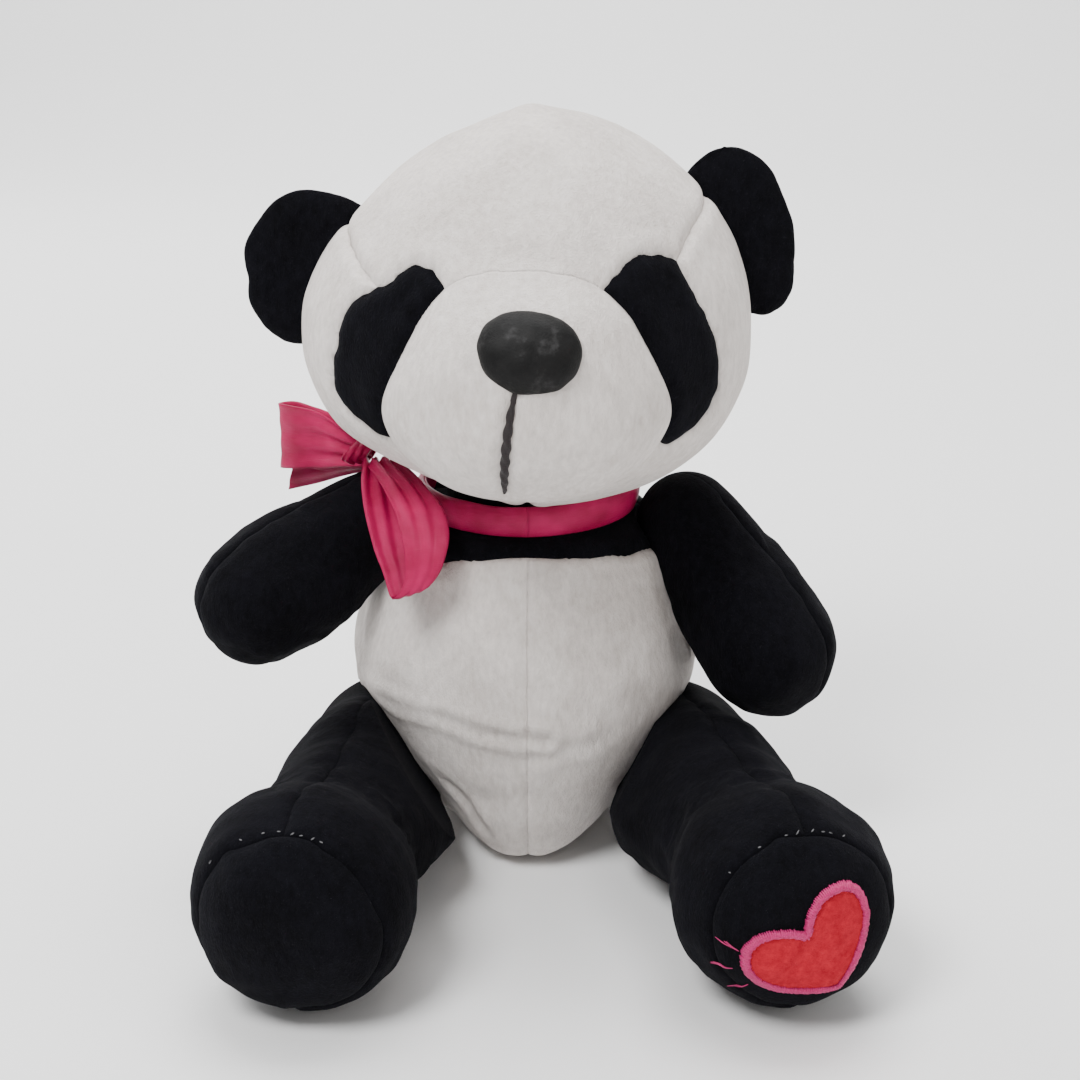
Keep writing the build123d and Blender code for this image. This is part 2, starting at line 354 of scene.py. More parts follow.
def node(tree, kind, **settings):
    made = tree.nodes.new(kind)
    for key, value in settings.items():
        setattr(made, key, value)
    return made


def position(tree, stretch=(1, 1, 1)):
    """Object coordinates, stretched per axis."""
    coords = node(tree, "ShaderNodeTexCoord")
    mapping = node(tree, "ShaderNodeMapping")
    mapping.inputs["Scale"].default_value = stretch
    link(tree, coords.outputs["Object"], mapping.inputs["Vector"])
    return mapping.outputs["Vector"]


def noise(tree, vector, scale, detail=3.0, rough=0.6):
    made = node(tree, "ShaderNodeTexNoise")
    made.inputs["Scale"].default_value = scale
    made.inputs["Detail"].default_value = detail
    made.inputs["Roughness"].default_value = rough
    link(tree, vector, made.inputs["Vector"])
    return made.outputs["Fac"]


def ramp(tree, value, stops):
    made = node(tree, "ShaderNodeValToRGB")
    spots = made.color_ramp.elements
    while len(spots) < len(stops):
        spots.new(0.5)
    for spot, (at, color) in zip(spots, stops):
        spot.position = at
        spot.color = (*color, 1)
    link(tree, value, made.inputs["Fac"])
    return made.outputs["Color"]


def paint(tree, shader, value, stops):
    """Colour the surface by a ramp over a value."""
    link(tree, ramp(tree, value, stops), shader.inputs["Base Color"])


def weighted(tree, values):
    """Sum of (value, weight) pairs."""
    total = None
    for value, weight in values:
        part = node(tree, "ShaderNodeMath", operation="MULTIPLY")
        link(tree, value, part.inputs[0])
        part.inputs[1].default_value = weight
        if total is None:
            total = part.outputs[0]
        else:
            both = node(tree, "ShaderNodeMath", operation="ADD")
            link(tree, total, both.inputs[0])
            link(tree, part.outputs[0], both.inputs[1])
            total = both.outputs[0]
    return total


def height(tree, shader, values, distance):
    """Bump the surface by the sum of (value, weight) pairs."""
    made = node(tree, "ShaderNodeBump")
    made.inputs["Distance"].default_value = distance
    made.inputs["Strength"].default_value = 1.0
    link(tree, weighted(tree, values), made.inputs["Height"])
    link(tree, made.outputs["Normal"], shader.inputs["Normal"])


def plush(name, dark, light, sheen, tint, pile):
    """Short dense pile: clumps that lean, fine strands, slight unevenness of colour."""
    made, tree, shader = material(name, light, 1.0)
    shader.inputs["Sheen Weight"].default_value = sheen
    shader.inputs["Sheen Roughness"].default_value = 0.45
    shader.inputs["Sheen Tint"].default_value = (*tint, 1)
    shader.inputs["Specular IOR Level"].default_value = 0.1
    here = position(tree)
    leaning = position(tree, (1, 1, 0.45))
    patches = noise(tree, here, 45, 2.0)
    clumps = noise(tree, leaning, 520, 2.5, 0.65)
    strands = noise(tree, leaning, 2300, 2.0, 0.7)
    shade = weighted(tree, [(clumps, 0.55), (patches, 0.45)])
    paint(tree, shader, shade, [(0.3, dark), (0.62, light)])
    height(tree, shader, [(clumps, 0.7), (strands, 0.5)], pile)
    return made


WHITE = plush("white_plush", (0.60, 0.545, 0.51), (0.81, 0.755, 0.72), 0.1, (1, 0.96, 0.93), 0.0007)
BLACK = plush(
    "black_plush", (0.0010, 0.0010, 0.0016), (0.0040, 0.0040, 0.0062), 0.016, (0.32, 0.33, 0.45), 0.0009
)


def stuffing_material():
    made, tree, shader = material("stuffing", (0.85, 0.85, 0.84), 1.0)
    fibres = noise(tree, position(tree), 900, 4.0, 0.7)
    paint(tree, shader, fibres, [(0.3, (0.72, 0.72, 0.71)), (0.7, (0.9, 0.9, 0.89))])
    height(tree, shader, [(fibres, 1.0)], 0.0008)
    return made


def nose_material():
    made, tree, shader = material("nose_velour", (0.08, 0.08, 0.085), 0.62)
    shader.inputs["Specular IOR Level"].default_value = 0.2
    here = position(tree)
    mottle = noise(tree, here, 170, 5.0, 0.62)
    grain = noise(tree, here, 1500, 3.0, 0.65)
    # the mottle's colours are painted light: the dark pits are painted shade and the light tips are a painted
    # highlight, the sheen of the velour pile
    shaded_pits, middle, highlit_tips = (0.0018, 0.0018, 0.0019), (0.0065, 0.0063, 0.0063), (0.045, 0.044, 0.045)
    paint(tree, shader, mottle, [(0.36, shaded_pits), (0.56, middle), (0.78, highlit_tips)])
    height(tree, shader, [(mottle, 0.5), (grain, 0.4)], 0.0005)
    return made


def satin_material():
    made, tree, shader = material("satin_ribbon", (0.62, 0.055, 0.19), 0.36)
    shader.inputs["Specular IOR Level"].default_value = 0.32
    shader.inputs["Specular Tint"].default_value = (1, 0.6, 0.75, 1)
    shader.inputs["Anisotropic"].default_value = 0.5
    here = position(tree)
    stretch = noise(tree, position(tree, (1, 1, 7)), 380, 3.0)
    weave = node(tree, "ShaderNodeTexWave", wave_type="BANDS")
    weave.inputs["Scale"].default_value = 1300
    weave.inputs["Distortion"].default_value = 1.5
    link(tree, here, weave.inputs["Vector"])
    cloud = noise(tree, here, 90, 2.0)
    paint(tree, shader, cloud, [(0.3, (0.31, 0.004, 0.048)), (0.7, (0.50, 0.011, 0.098))])
    height(tree, shader, [(stretch, 0.6), (weave.outputs["Fac"], 0.12)], 0.0003)
    return made


def thread_material(name, dark, light, roughness=0.6):
    made, tree, shader = material(name, light, roughness)
    shader.inputs["Sheen Weight"].default_value = 0.05
    ply = noise(tree, position(tree), 1900, 3.0)
    paint(tree, shader, ply, [(0.3, dark), (0.7, light)])
    height(tree, shader, [(ply, 1.0)], 0.0002)
    return made


def felt_material():
    made, tree, shader = material("heart_felt", (0.66, 0.10, 0.11), 0.95)
    shader.inputs["Sheen Weight"].default_value = 0.03
    shader.inputs["Sheen Tint"].default_value = (1, 0.6, 0.6, 1)
    shader.inputs["Specular IOR Level"].default_value = 0.12
    here = position(tree)
    nap = noise(tree, here, 420, 4.0, 0.7)
    fine = noise(tree, here, 2200, 2.0, 0.7)
    paint(tree, shader, nap, [(0.3, (0.34, 0.006, 0.017)), (0.7, (0.56, 0.020, 0.038))])
    height(tree, shader, [(nap, 0.6), (fine, 0.6)], 0.0006)
    return made


STUFFING = stuffing_material()
NOSE = nose_material()
SATIN = satin_material()
FELT = felt_material()
MOUTH_THREAD = thread_material("mouth_thread", (0.004, 0.002, 0.0025), (0.016, 0.008, 0.009), 0.75)
HEART_THREAD = thread_material("heart_thread", (0.40, 0.005, 0.09), (0.60, 0.015, 0.18), 0.5)
SPECK_THREAD = thread_material("speck_thread", (0.05, 0.05, 0.055), (0.20, 0.20, 0.21))
BLACK_THREAD = thread_material("closing_thread", (0.002, 0.002, 0.003), (0.012, 0.012, 0.014))


# ---------------------------------------------------------------- head
HEAD_C = array([0, -12, 175.5])
HEAD_DEPTH = 60
HEAD_OUTLINE = [
    (0, 67), (15, 65.2), (35, 62), (55, 59.8), (75, 59.2), (90, 58.6), (110, 55.8), (130, 55.2),
    (150, 57.5), (165, 62.6), (180, 67.2), (195, 68.8), (210, 67.4), (225, 62.5), (240, 59.5),
    (270, 60), (295, 63), (310, 66), (325, 68.8), (340, 69.2),
]
MUZZLE_C = array([0, -52, 165.0])
MUZZLE_SEMI = array([41, 39, 36])
FACE_CORE = array([0, -34, 171.0])
EAR_SEAM_Y = -4
CROWN = array([0.6, -12, 234])

LEFT_PATCH = [
    (20, 192), (26.5, 197.5), (29.5, 200), (35.5, 200.3), (41, 198.5), (45.5, 192), (50.7, 183),
    (54.5, 173.5), (56, 165), (54.5, 154.5), (49.5, 147.5), (40.3, 143.5), (36, 150), (30, 175),
]
RIGHT_PATCH = [
    (-21, 190), (-24.5, 195), (-27, 197.6), (-31, 197.4), (-40.6, 191.2), (-49, 185.8), (-52.9, 181),
    (-54.6, 174.8), (-56.4, 166.8), (-56.8, 159), (-53.7, 153), (-46.6, 147.2), (-40.5, 144.2),
    (-36, 150), (-30, 172),
]
LEFT_DART = [(42.9, 198.2), (46.5, 203.5), (52, 208.5), (70, 216)]
RIGHT_DART = [(-42.3, 190.5), (-49, 195.5), (-56, 203), (-70, 212)]
MOUTH = [(-2.6, -90.4, 171.5), (-4.4, -90.6, 162), (-5.6, -88, 151), (-6.0, -77, 137.5)]


def head_field(p):
    q = p - HEAD_C
    rho = np.hypot(q[:, 0], q[:, 2])
    angle = np.degrees(np.arctan2(q[:, 2], q[:, 0]))
    outline = smooth(HEAD_OUTLINE, angle, 360)
    return np.sqrt((rho / outline) ** 2 + (q[:, 1] / HEAD_DEPTH) ** 2)


def muzzle_field(p):
    q = np.abs(p - MUZZLE_C) / MUZZLE_SEMI
    q[:, 0] /= 1.045 - 0.155 * step(p[:, 2], 152, 182)
    power = 2.2
    return np.sqrt((q[:, 0] ** power + q[:, 2] ** power) ** (2 / power) + q[:, 1] ** 2)


def face_field(p):
    """Head and muzzle joined, crisp at the sides and soft over the brow."""
    a, b = head_field(p), muzzle_field(p)
    tight = 60 - 42 * step(p[:, 2], 180, 200)
    low = np.minimum(a, b)
    high = np.maximum(a, b)
    return low - np.log1p(np.exp(-tight * (high - low))) / tight


def above(line, points):
    """Whether (x, z) points are above a line, given from the middle outwards."""
    line = sorted(line)
    return points[:, 1] > np.interp(points[:, 0], [x for x, _ in line], [z for _, z in line])


def build_head():
    ways, faces = ball_grid(104)
    points = cast(FACE_CORE, ways, face_field)
    middle = points[faces].mean(axis=1)
    flat = middle[:, [0, 2]]
    labels = np.where(middle[:, 0] > 0, 3, 4)
    front = middle[:, 1] < EAR_SEAM_Y
    labels[front] = 0
    low_left = front & (middle[:, 0] > 0) & ~above([(0, 165), (36, 185), *LEFT_DART], flat)
    low_right = front & (middle[:, 0] <= 0) & ~above([(0, 165), (-36, 183), *RIGHT_DART], flat)
    labels[low_left] = 1
    labels[low_right] = 2
    face_front = middle[:, 1] < -32
    fuzz = flat + 0.55 * np.stack([lumps(middle, 4.5, 5), lumps(middle, 4.5, 6)], 1)
    labels[face_front & inside(fuzz, closed(LEFT_PATCH, 119))] = 5
    labels[face_front & inside(fuzz, closed(RIGHT_PATCH, 119))] = 6
    labels[muzzle_field(middle) < head_field(middle)] = 7

    edges = relax_rims(points, faces, labels)
    brow = step(points[:, 2], 186, 198) * step(-np.abs(points[:, 0]), -26, -18)
    points = sink_seams(points, faces, edges, SEAM_DEPTH * (1 - 0.93 * brow))
    points = points + normals(points, faces) * (0.35 * lumps(points, 46, 11))[:, None]
    points[:, 2] += 1.3 * bump(np.linalg.norm(points - CROWN, axis=1), 0, 6.0)
    # smile creases, and the pull of the mouth stitch
    right_smile = [(31, -77, 159.5), (28, -78.5, 153.4), (22.5, -79.6, 147.2), (13, -76.6, 139)]
    left_smile = [(-34.5, -73, 164), (-32.3, -74.6, 155.4), (-29.5, -73, 147.5), (-22, -72, 139.5)]
    points = groove(points, faces, right_smile, 0.75, 1.5, 0.35)
    points = groove(points, faces, left_smile, 0.5, 1.6, 0.3)
    points = groove(points, faces, MOUTH, 1.1, 2.2, 0.4)
    whites = ("forehead", "cheek_left", "cheek_right", "head_back_left", "head_back_right")
    table = [(name, WHITE) for name in whites]
    table += [("eye_patch_left", BLACK), ("eye_patch_right", BLACK), ("muzzle", WHITE)]
    panels(points, faces, labels, table, "head")
    ways, coarse = ball_grid(30)
    fill("head_stuffing", cast(FACE_CORE, ways, face_field), coarse, "head")
    return points, faces


head_points, head_faces = build_head()
head_tree = BVHTree.FromPolygons(head_points.tolist(), head_faces.tolist())


def onto(tree, points, way, lift=0.0):
    """Points moved along a direction onto a surface, then lifted along its normal."""
    found = []
    way = Vector(way).normalized()
    for p in points:
        hit, normal, _, _ = tree.ray_cast(Vector(p) - way * 60, way)
        if hit is None:
            hit, normal, _, _ = tree.find_nearest(Vector(p))
        found.append(hit + normal * lift)
    return array(found)


# ---------------------------------------------------------------- swept pieces
def sweep(line, radius, sides=10, twist=0.0, strands=0):
    """Round cord along a line of points, with rounded ends and optional plies."""
    line = array(line)
    count = len(line)
    along = unit(np.gradient(line, axis=0))
    up = array([0, 0, 1]) if abs(along[0][2]) < 0.9 else array([1, 0, 0])
    angle = np.linspace(0, 2 * math.pi, sides, endpoint=False)
    rows = []
    for k in range(count):
        side = unit(np.cross(along[k], up))
        up = unit(np.cross(side, along[k]))
        size = np.full(sides, float(radius[k]))
        if strands:
            size = size * (1 + 0.16 * np.cos(strands * angle - twist * k))
        ring = np.cos(angle)[:, None] * side + np.sin(angle)[:, None] * up
        rows.append(line[k] + size[:, None] * ring)
    return np.concatenate([*rows, [line[0]], [line[-1]]]), capped(count, sides)


def joined(parts):
    """One point list and face list from several."""
    points, faces, first = [], [], 0
    for p, f in parts:
        points.append(p)
        faces.extend([[i + first for i in face] for face in f])
        first += len(p)
    return np.concatenate(points), faces


def taper(count, radius, ends=0.35, power=2.0):
    t = np.linspace(-1, 1, count)
    return radius * (ends + (1 - ends) * (1 - np.abs(t) ** power))


def build_mouth():
    line = onto(head_tree, path(MOUTH, 90), (0, 1, 0.12), 0.35)
    points, faces = sweep(line, taper(len(line), 1.25, 0.35, 2.4), 14, 0.55, 2)
    make("mouth_stitch", points, faces, MOUTH_THREAD, "head")


build_mouth()


# ---------------------------------------------------------------- nose
NOSE_AT = array([0.9, -84.4, 179.7])
NOSE_TILT = math.radians(31)
NOSE_LEAN = math.radians(-9)
NOSE_HALF_WIDE = 14.1
NOSE_HALF_TALL = 11.5
NOSE_FRONT = 7.6
NOSE_BACK = 5.0
NOSE_SQUARENESS = 2.12


def build_nose():
    ways, faces = ball_grid(26)
    out = array([0, -math.cos(NOSE_TILT), math.sin(NOSE_TILT)])
    up = array([0, math.sin(NOSE_TILT), math.cos(NOSE_TILT)])
    across = array([math.cos(NOSE_LEAN), 0, 0]) + up * math.sin(NOSE_LEAN)
    rise = up * math.cos(NOSE_LEAN) - array([math.sin(NOSE_LEAN), 0, 0])
    size = (np.abs(ways) ** NOSE_SQUARENESS).sum(axis=1) ** (-1 / NOSE_SQUARENESS)
    w = ways * size[:, None]
    wide = 1 + 0.05 * w[:, 2]
    points = NOSE_AT + np.outer(w[:, 0] * NOSE_HALF_WIDE * wide, across)
    points = points + np.outer(w[:, 2] * NOSE_HALF_TALL, rise)
    points += np.outer(np.where(w[:, 1] < 0, -w[:, 1] * NOSE_FRONT, -w[:, 1] * NOSE_BACK), out)
    points += normals(points, faces) * (0.16 * lumps(points, 10, 31, 2))[:, None]
    faces = outward(points, faces, NOSE_AT)
    cover = make("nose_cover", points, faces, NOSE, "head")
    make("nose_pad", NOSE_AT + (points - NOSE_AT) * 0.86, faces, STUFFING, "head")


build_nose()


# ---------------------------------------------------------------- ears
EAR_HALF_THICK = 4.2
EAR_FABRIC = 1.2
EAR_ROOT = 0.972      # how deep the root sits, as a share of the way to the head's surface
LEFT_EAR = [
    (45, 211), (50, 217.5), (54.5, 220.8), (60.5, 222.2), (66.5, 220.6), (72.6, 215.6), (77, 207.5),
    (80.2, 199), (81.2, 188), (80.8, 178.5), (78, 173), (73.5, 170.6), (68, 170.8), (62, 172), (58, 184),
    (51, 199),
]
RIGHT_EAR = [
    (-47, 203), (-53, 206.5), (-60, 208.6), (-69, 209.2), (-74.5, 207), (-80.8, 200.6), (-84.6, 194.5),
    (-86, 188), (-85, 182), (-85.2, 175.5), (-82, 168.6), (-77, 163.6), (-70, 161.4), (-63, 162.5),
    (-60, 175), (-55, 190),
]
EAR_AT = {"left": (66.0, 193.5), "right": (-70.0, 183.5)}


def build_ear(side, outline):
    centre = array(EAR_AT[side])
    rim = closed(outline, 160)
    rings = 34
    rows = []
    for face in (1, -1):
        for k in range(rings + 1):
            share = math.sin(k / rings * math.pi / 2) if face > 0 else math.cos(k / rings * math.pi / 2)
            flat = centre + (rim - centre) * share
            thick = EAR_HALF_THICK * (1 - share**2.6) ** 0.55
            y = EAR_SEAM_Y - face * np.full(len(rim), thick)
            if face < 0 and k == 0:
                continue
            rows.append(np.stack([flat[:, 0], y, flat[:, 1]], 1))
    points = np.concatenate(rows)
    faces = tube_grid(len(rows), len(rim))
    folds = 0.55 * lumps(points * array([1, 0.2, 1]), 17, 41 if side == "left" else 47)
    dish = 1.1 * bump(np.linalg.norm(points[:, [0, 2]] - centre, axis=1), 0, 11)
    points[:, 1] += folds + dish
    faces = outward(points, faces, array([centre[0], EAR_SEAM_Y, centre[1]]))
    # the root is cut to sit in the ear seam
    for _ in range(60):
        deep = head_field(points) < EAR_ROOT
        if not deep.any():
            break
        points[deep] += unit(points[deep] - HEAD_C) * array([1, 0, 1]) * 0.4
    labels = np.where(points[faces].mean(axis=1)[:, 1] < EAR_SEAM_Y + 0.3, 0, 1)
    edges = relax_rims(points, faces, labels, 4)
    points = sink_seams(points, faces, edges, 0.5, 1.0, 0.2)
    table = [(f"ear_{side}_front", BLACK), (f"ear_{side}_back", BLACK)]
    way = unit(centre - HEAD_C[[0, 2]])
    # steps out from the head's middle towards the ear, testing each point against the head; the result is not
    # kept
    for share in np.linspace(0.5, 1.4, 200):
        flat = HEAD_C[[0, 2]] + way * 62 * share
        head_field(array([[flat[0], EAR_SEAM_Y, flat[1]]]))[0] < 1
    for piece in panels(points, faces, labels, table, None, EAR_FABRIC):
        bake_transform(piece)


build_ear("left", LEFT_EAR)
build_ear("right", RIGHT_EAR)


# ---------------------------------------------------------------- limbs
def limb(root, tip, profile, around=110, spacing=1.15):
    """Round limb along the line from root to tip. The profile gives (distance, radius).

    Each point's coords are its distance along, its angle round in degrees and its radius.
    """
    root, tip = array(root), array(tip)
    along = unit(tip - root)
    level = unit(np.cross([0, 0, 1], along))
    rise = np.cross(along, level)
    line = path(profile, 2000)
    length = np.linalg.norm(np.diff(line, axis=0), axis=1).sum()
    line = path(profile, int(length / spacing))
    line[[0, -1], 1] = 0
    line[1:-1, 1] = np.maximum(line[1:-1, 1], 0.5)
    angle = np.linspace(0, 2 * math.pi, around, endpoint=False)
    ring = np.cos(angle)[:, None] * level + np.sin(angle)[:, None] * rise
    points = root + line[:, None, :1] * along + line[:, None, 1:] * ring[None]
    degrees = np.tile(np.degrees(angle), len(line))
    coords = np.stack([np.repeat(line[:, 0], around), degrees, np.repeat(line[:, 1], around)], 1)
    return points.reshape(-1, 3), tube_grid(len(line), around), coords, (along, level, rise)


def round_end(centre, radius, start, stop, count=7):
    """Points (distance, radius) on a circular arc, in degrees."""
    angles = np.radians(np.linspace(start, stop, count))
    return [(centre + radius * math.cos(a), radius * math.sin(a)) for a in angles]


SHOULDER = {"left": (50, -9, 105.5), "right": (-48, -9, 106)}
HAND = {"left": (76.5, -29, 69.5), "right": (-85, -30, 86)}
ARM_PROFILE = {
    "left": [*round_end(0, 15.8, 180, 98), (18, 18.6), (31, 20.6), (44, 20.9), *round_end(47.5, 20.3, 72, 0)],
    "right": [*round_end(0, 15.8, 180, 98), (16, 18.2), (28, 20.2), (39, 20.2), *round_end(45, 19.0, 75, 0)],
}


def build_arm(side, sign):
    points, faces, coords, axes = limb(SHOULDER[side], HAND[side], ARM_PROFILE[side])
    along, level, rise = axes
    faces = outward(points, faces, array(SHOULDER[side]) + along * 25)
    s, angle, radius = coords.T
    free = step(s, 8, 22)
    n = normals(points, faces)
    gather = 0.45 * np.sin(np.radians(angle) * 9 + lumps(points, 20, 51) * 2) * bump(s, 15, 8)
    soft = 0.8 * lumps(points, 30, 53 if sign > 0 else 57) * free
    sag = -0.9 * free * step(np.sin(np.radians(angle)) * -1, 0.2, 1.0) * step(radius, 2, 14)
    points = points + n * (gather * free + soft - sag)[:, None]
    middle = points[faces].mean(axis=1) - array(SHOULDER[side])
    facing = np.degrees(np.arctan2(middle @ rise, middle @ level))
    labels = np.where(np.abs(facing) < 90, 0, 1)
    edges = relax_rims(points, faces, labels, 6)
    edges = edges[np.all(coords[edges, 0] > 2, axis=1)]
    points = sink_seams(points, faces, edges, 0.7, 1.3, 0.2)
    table = [(f"arm_{side}_inner", BLACK), (f"arm_{side}_outer", BLACK)]
    panels(points, faces, labels, table, f"arm_{side}")
    fill(f"arm_{side}_stuffing", points, faces, f"arm_{side}", FABRIC + 0.6)


HIP = {"left": (48, -9, 27), "right": (-46, -9, 29)}
FOOT = {"left": (71, -111, 31.4), "right": (-62, -112, 31.4)}
FOOT_R = {"left": 31.0, "right": 31.6}
SOLE_AT = 17
# the plane that the belly presses on each thigh: two points on it, and the way it looks
THIGH_PRESS = {
    "left": ((50, -15, 62), (21.5, -42, 13)),
    "right": ((-53, -18, 57), (-19.5, -42, 8.5)),
}
VIEW_WAY = array([0, math.cos(math.radians(20)), -math.sin(math.radians(20))])


def leg_profile(side, length):
    r = FOOT_R[side]
    seam = length + SOLE_AT
    return [
        *round_end(0, 22, 180, 96, 6),
        (20, 22.6), (45, 23.4), (62, 23.8), (74, 23.9), (84, 25.6), (93, r - 2.2),
        (length + 1, r), (length + 9, r - 1.4), (seam, r - 5.2),
        (seam + 5.2, r - 10.5), (seam + 8.6, r - 17), (seam + 10.4, 8), (seam + 10.9, 0),
    ]


def build_leg(side, sign):
    hip, foot = array(HIP[side]), array(FOOT[side])
    length = float(np.linalg.norm(foot - hip))
    points, faces, coords, axes = limb(hip, foot, leg_profile(side, length), 150, 1.2)
    along, level, rise = axes
    faces = outward(points, faces, hip + along * 60)
    s, angle = coords[:, 0], coords[:, 1]
    n = normals(points, faces)
    free = step(s, 12, 30)
    soft = 0.9 * lumps(points, 36, 61 if sign > 0 else 67) * free
    pleats = 0.5 * np.sin(np.radians(angle) * 11 + 2 * lumps(points, 15, 63)) * bump(s, 78, 9)
    points = points + n * (soft + pleats)[:, None]
    # taller than wide at the hip
    tall = 1.0 + 0.13 * bump(s, 32, 16)
    lift = (points - hip) @ rise
    points = points + np.outer(lift * (tall - 1), rise)
    # the thigh spreads inwards under the belly
    inner = step(-((points - hip) @ level) * sign, 4, 20) * step(-lift, -14, 6)
    points = points - np.outer(9 * inner * bump(s, 38, 24) * step(s, 6, 26), level * sign)
    # the belly rests against the thigh
    a, b = (array(p) for p in THIGH_PRESS[side])
    press = unit(np.cross(b - a, VIEW_WAY))
    if press @ array([-sign, 0, 1]) < 0:
        press = -press
    over = (points - a) @ press
    weight = (1 - step(-points[:, 1], 58, 96)) * step(-points[:, 1], 16, 30)
    push = np.where(over > 0, over, 0) * weight
    points = points - np.outer(push, press)
    points[:, 2] = floor_rest(points[:, 2])

    middle = points[faces].mean(axis=1)
    local = middle - hip
    ahead = local @ along
    labels = np.where(local @ level * sign > 0, 0, 1)
    labels[ahead > length + SOLE_AT] = 2
    edges = relax_rims(points, faces, labels, 6)
    points = sink_seams(points, faces, edges, 0.8, 1.3, 0.3)
    points[:, 2] = np.maximum(points[:, 2], 0.0)
    table = [(f"leg_{side}_outer", BLACK), (f"leg_{side}_inner", BLACK), (f"sole_{side}", BLACK)]
    panels(points, faces, labels, table, f"leg_{side}")
    fill(f"leg_{side}_stuffing", points, faces, f"leg_{side}")
    return {"points": points, "faces": faces, "axes": axes, "hip": hip, "length": length}


def floor_rest(z):
    """Heights pressed flat on the floor, with a soft edge."""
    return np.where(z < 0.8, np.maximum(0.25 * z + 0.6, 0.0) * step(z, -6, 0.8), z)


for side, sign in SIDES:
    build_arm(side, sign)
legs = {side: build_leg(side, sign) for side, sign in SIDES}


# ---------------------------------------------------------------- torso
TORSO_Y = -2
TORSO_TOP = 113.5
HALF_FRONT = [
    (0, 14), (5, 21), (15, 29), (28, 38), (45, 48), (60, 53), (75, 52.5), (90, 47.5), (100, 43),
    (105, 40), (108, 35.5), (110, 31.5), (113.5, 29.5),
]
HALF_BACK = [
    (0, 28), (5, 37), (15, 44), (28, 49), (45, 52.5), (60, 53.5), (75, 52.5), (90, 47.5), (100, 43),
    (105, 40), (108, 35.5), (110, 31.5), (113.5, 29.5),
]
DEEP_FRONT = [
    (0, 27), (3, 36), (8, 41.5), (15, 44.5), (28, 47.5), (45, 49.5), (60, 49), (75, 46), (90, 41.5),
    (100, 38.5), (105, 36.8), (108, 34), (110, 31), (113.5, 29),
]
DEEP_BACK = [
    (0, 25), (5, 36), (15, 42), (28, 47), (45, 49), (60, 48), (75, 46), (90, 43), (100, 40),
    (105, 38), (108, 34.5), (110, 31), (113.5, 29),
]
TORSO_CORE = array([0, -2, 50.0])
SHOULDER_ROOM = 16.4  # radius of the hollow for a limb's root
HIP_ROOM = 22.6


def torso_field(p):
    z = np.clip(p[:, 2], 0, TORSO_TOP)
    y = p[:, 1] - TORSO_Y
    ahead = step(-y, -14, 22)
    wide = smooth(HALF_FRONT, z) * ahead + smooth(HALF_BACK, z) * (1 - ahead)
    wide = wide + np.where(p[:, 0] < 0, 2.6, 0.6) * bump(z, 52, 26)
    deep = np.where(y < 0, smooth(DEEP_FRONT, z), smooth(DEEP_BACK, z))
    power = 2.15
    ratio = ((np.abs(p[:, 0]) / wide) ** power + (np.abs(y) / deep) ** power) ** (1 / power)
    return np.where((p[:, 2] < 0) | (p[:, 2] > TORSO_TOP), 2.0, ratio)


def chest_seam(x):
    return 104.2 - np.where(x < 0, 0.0048, 0.0024) * x**2 + 0.25 * np.sin(x * 0.55)


def build_torso():
    ways, faces = ball_grid(92)
    points = cast(TORSO_CORE, ways, torso_field)
    middle = points[faces].mean(axis=1)
    labels = np.where(middle[:, 0] > 0, 3, 4)
    front = middle[:, 1] < 2.5
    labels[front & (middle[:, 0] > 0)] = 1
    labels[front & (middle[:, 0] <= 0)] = 2
    labels[front & (middle[:, 2] > chest_seam(middle[:, 0]))] = 0
    edges = relax_rims(points, faces, labels)
    centre = bump(points[:, 0], 0, 6) * step(-points[:, 1], 0, 10)
    points = sink_seams(points, faces, edges, SEAM_DEPTH * (1 - 0.55 * centre))
    uneven = 0.7 * lumps(points, 38, 71) * step(points[:, 2], 2, 12)
    points = points + normals(points, faces) * uneven[:, None]
    # belly folds: the line, the depth and the width of each
    folds = [
        (
            [(-49, -17, 58), (-40, -33, 55.5), (-23.8, -45, 55.3), (-12, -49, 52), (5.3, -50.5, 50.5)],
            1.7, 1.9,
        ),
        ([(-26, -38, 36), (-19, -42, 24), (-9, -39, 9)], 1.1, 1.9),
        ([(4, -50, 46), (18, -46, 48), (30, -38, 53)], 0.8, 2.4),
        ([(-30, -34, 40), (-14, -44, 36), (2, -47, 37)], 0.5, 2.0),
        ([(-40, -22, 97), (-24, -34, 98.5), (-4, -39, 99.5), (12, -38, 98.8)], 0.6, 1.8),
        ([(20, -36, 99), (30, -31, 97.5), (39, -22, 95)], 0.55, 1.6),
        ([(45, -19, 83), (38, -31, 78), (28, -40, 76)], 0.5, 2.2),
    ]
    for line, deep, width in folds:
        points = groove(points, faces, line, deep, width, deep * 0.5)
    ridge = [(39.5, -17, 101), (43.5, -21, 90), (46.8, -22, 78), (49.5, -19, 64)]
    points = groove(points, faces, ridge, -1.4, 2.4, -0.5)
    # room for the limb roots
    for side, _ in SIDES:
        points = carve(points, array(SHOULDER[side]), SHOULDER_ROOM)
        points = carve(points, array(HIP[side]), HIP_ROOM)
    points[:, 2] = np.maximum(points[:, 2], 0)
    table = [
        ("chest_yoke", BLACK), ("belly_left", WHITE), ("belly_right", WHITE),
        ("back_left", BLACK), ("back_right", BLACK),
    ]
    panels(points, faces, labels, table, "torso")
    fill("torso_stuffing", points, faces, "torso")
    return points, faces


def carve(points, centre, radius):
    """Push points that are inside a ball out of it, towards the middle of the body."""
    q = points - centre
    within = (q**2).sum(axis=1) < radius**2
    way = unit(TORSO_CORE + (points[within] - TORSO_CORE) * array([0, 0, 0.6]) - points[within])
    b = (q[within] * way).sum(axis=1)
    c = (q[within] ** 2).sum(axis=1) - radius**2
    points[within] += way * (-b + np.sqrt(np.maximum(b * b - c, 0)))[:, None]
    return points


torso_points, torso_faces = build_torso()
torso_tree = BVHTree.FromPolygons(torso_points.tolist(), torso_faces.tolist())


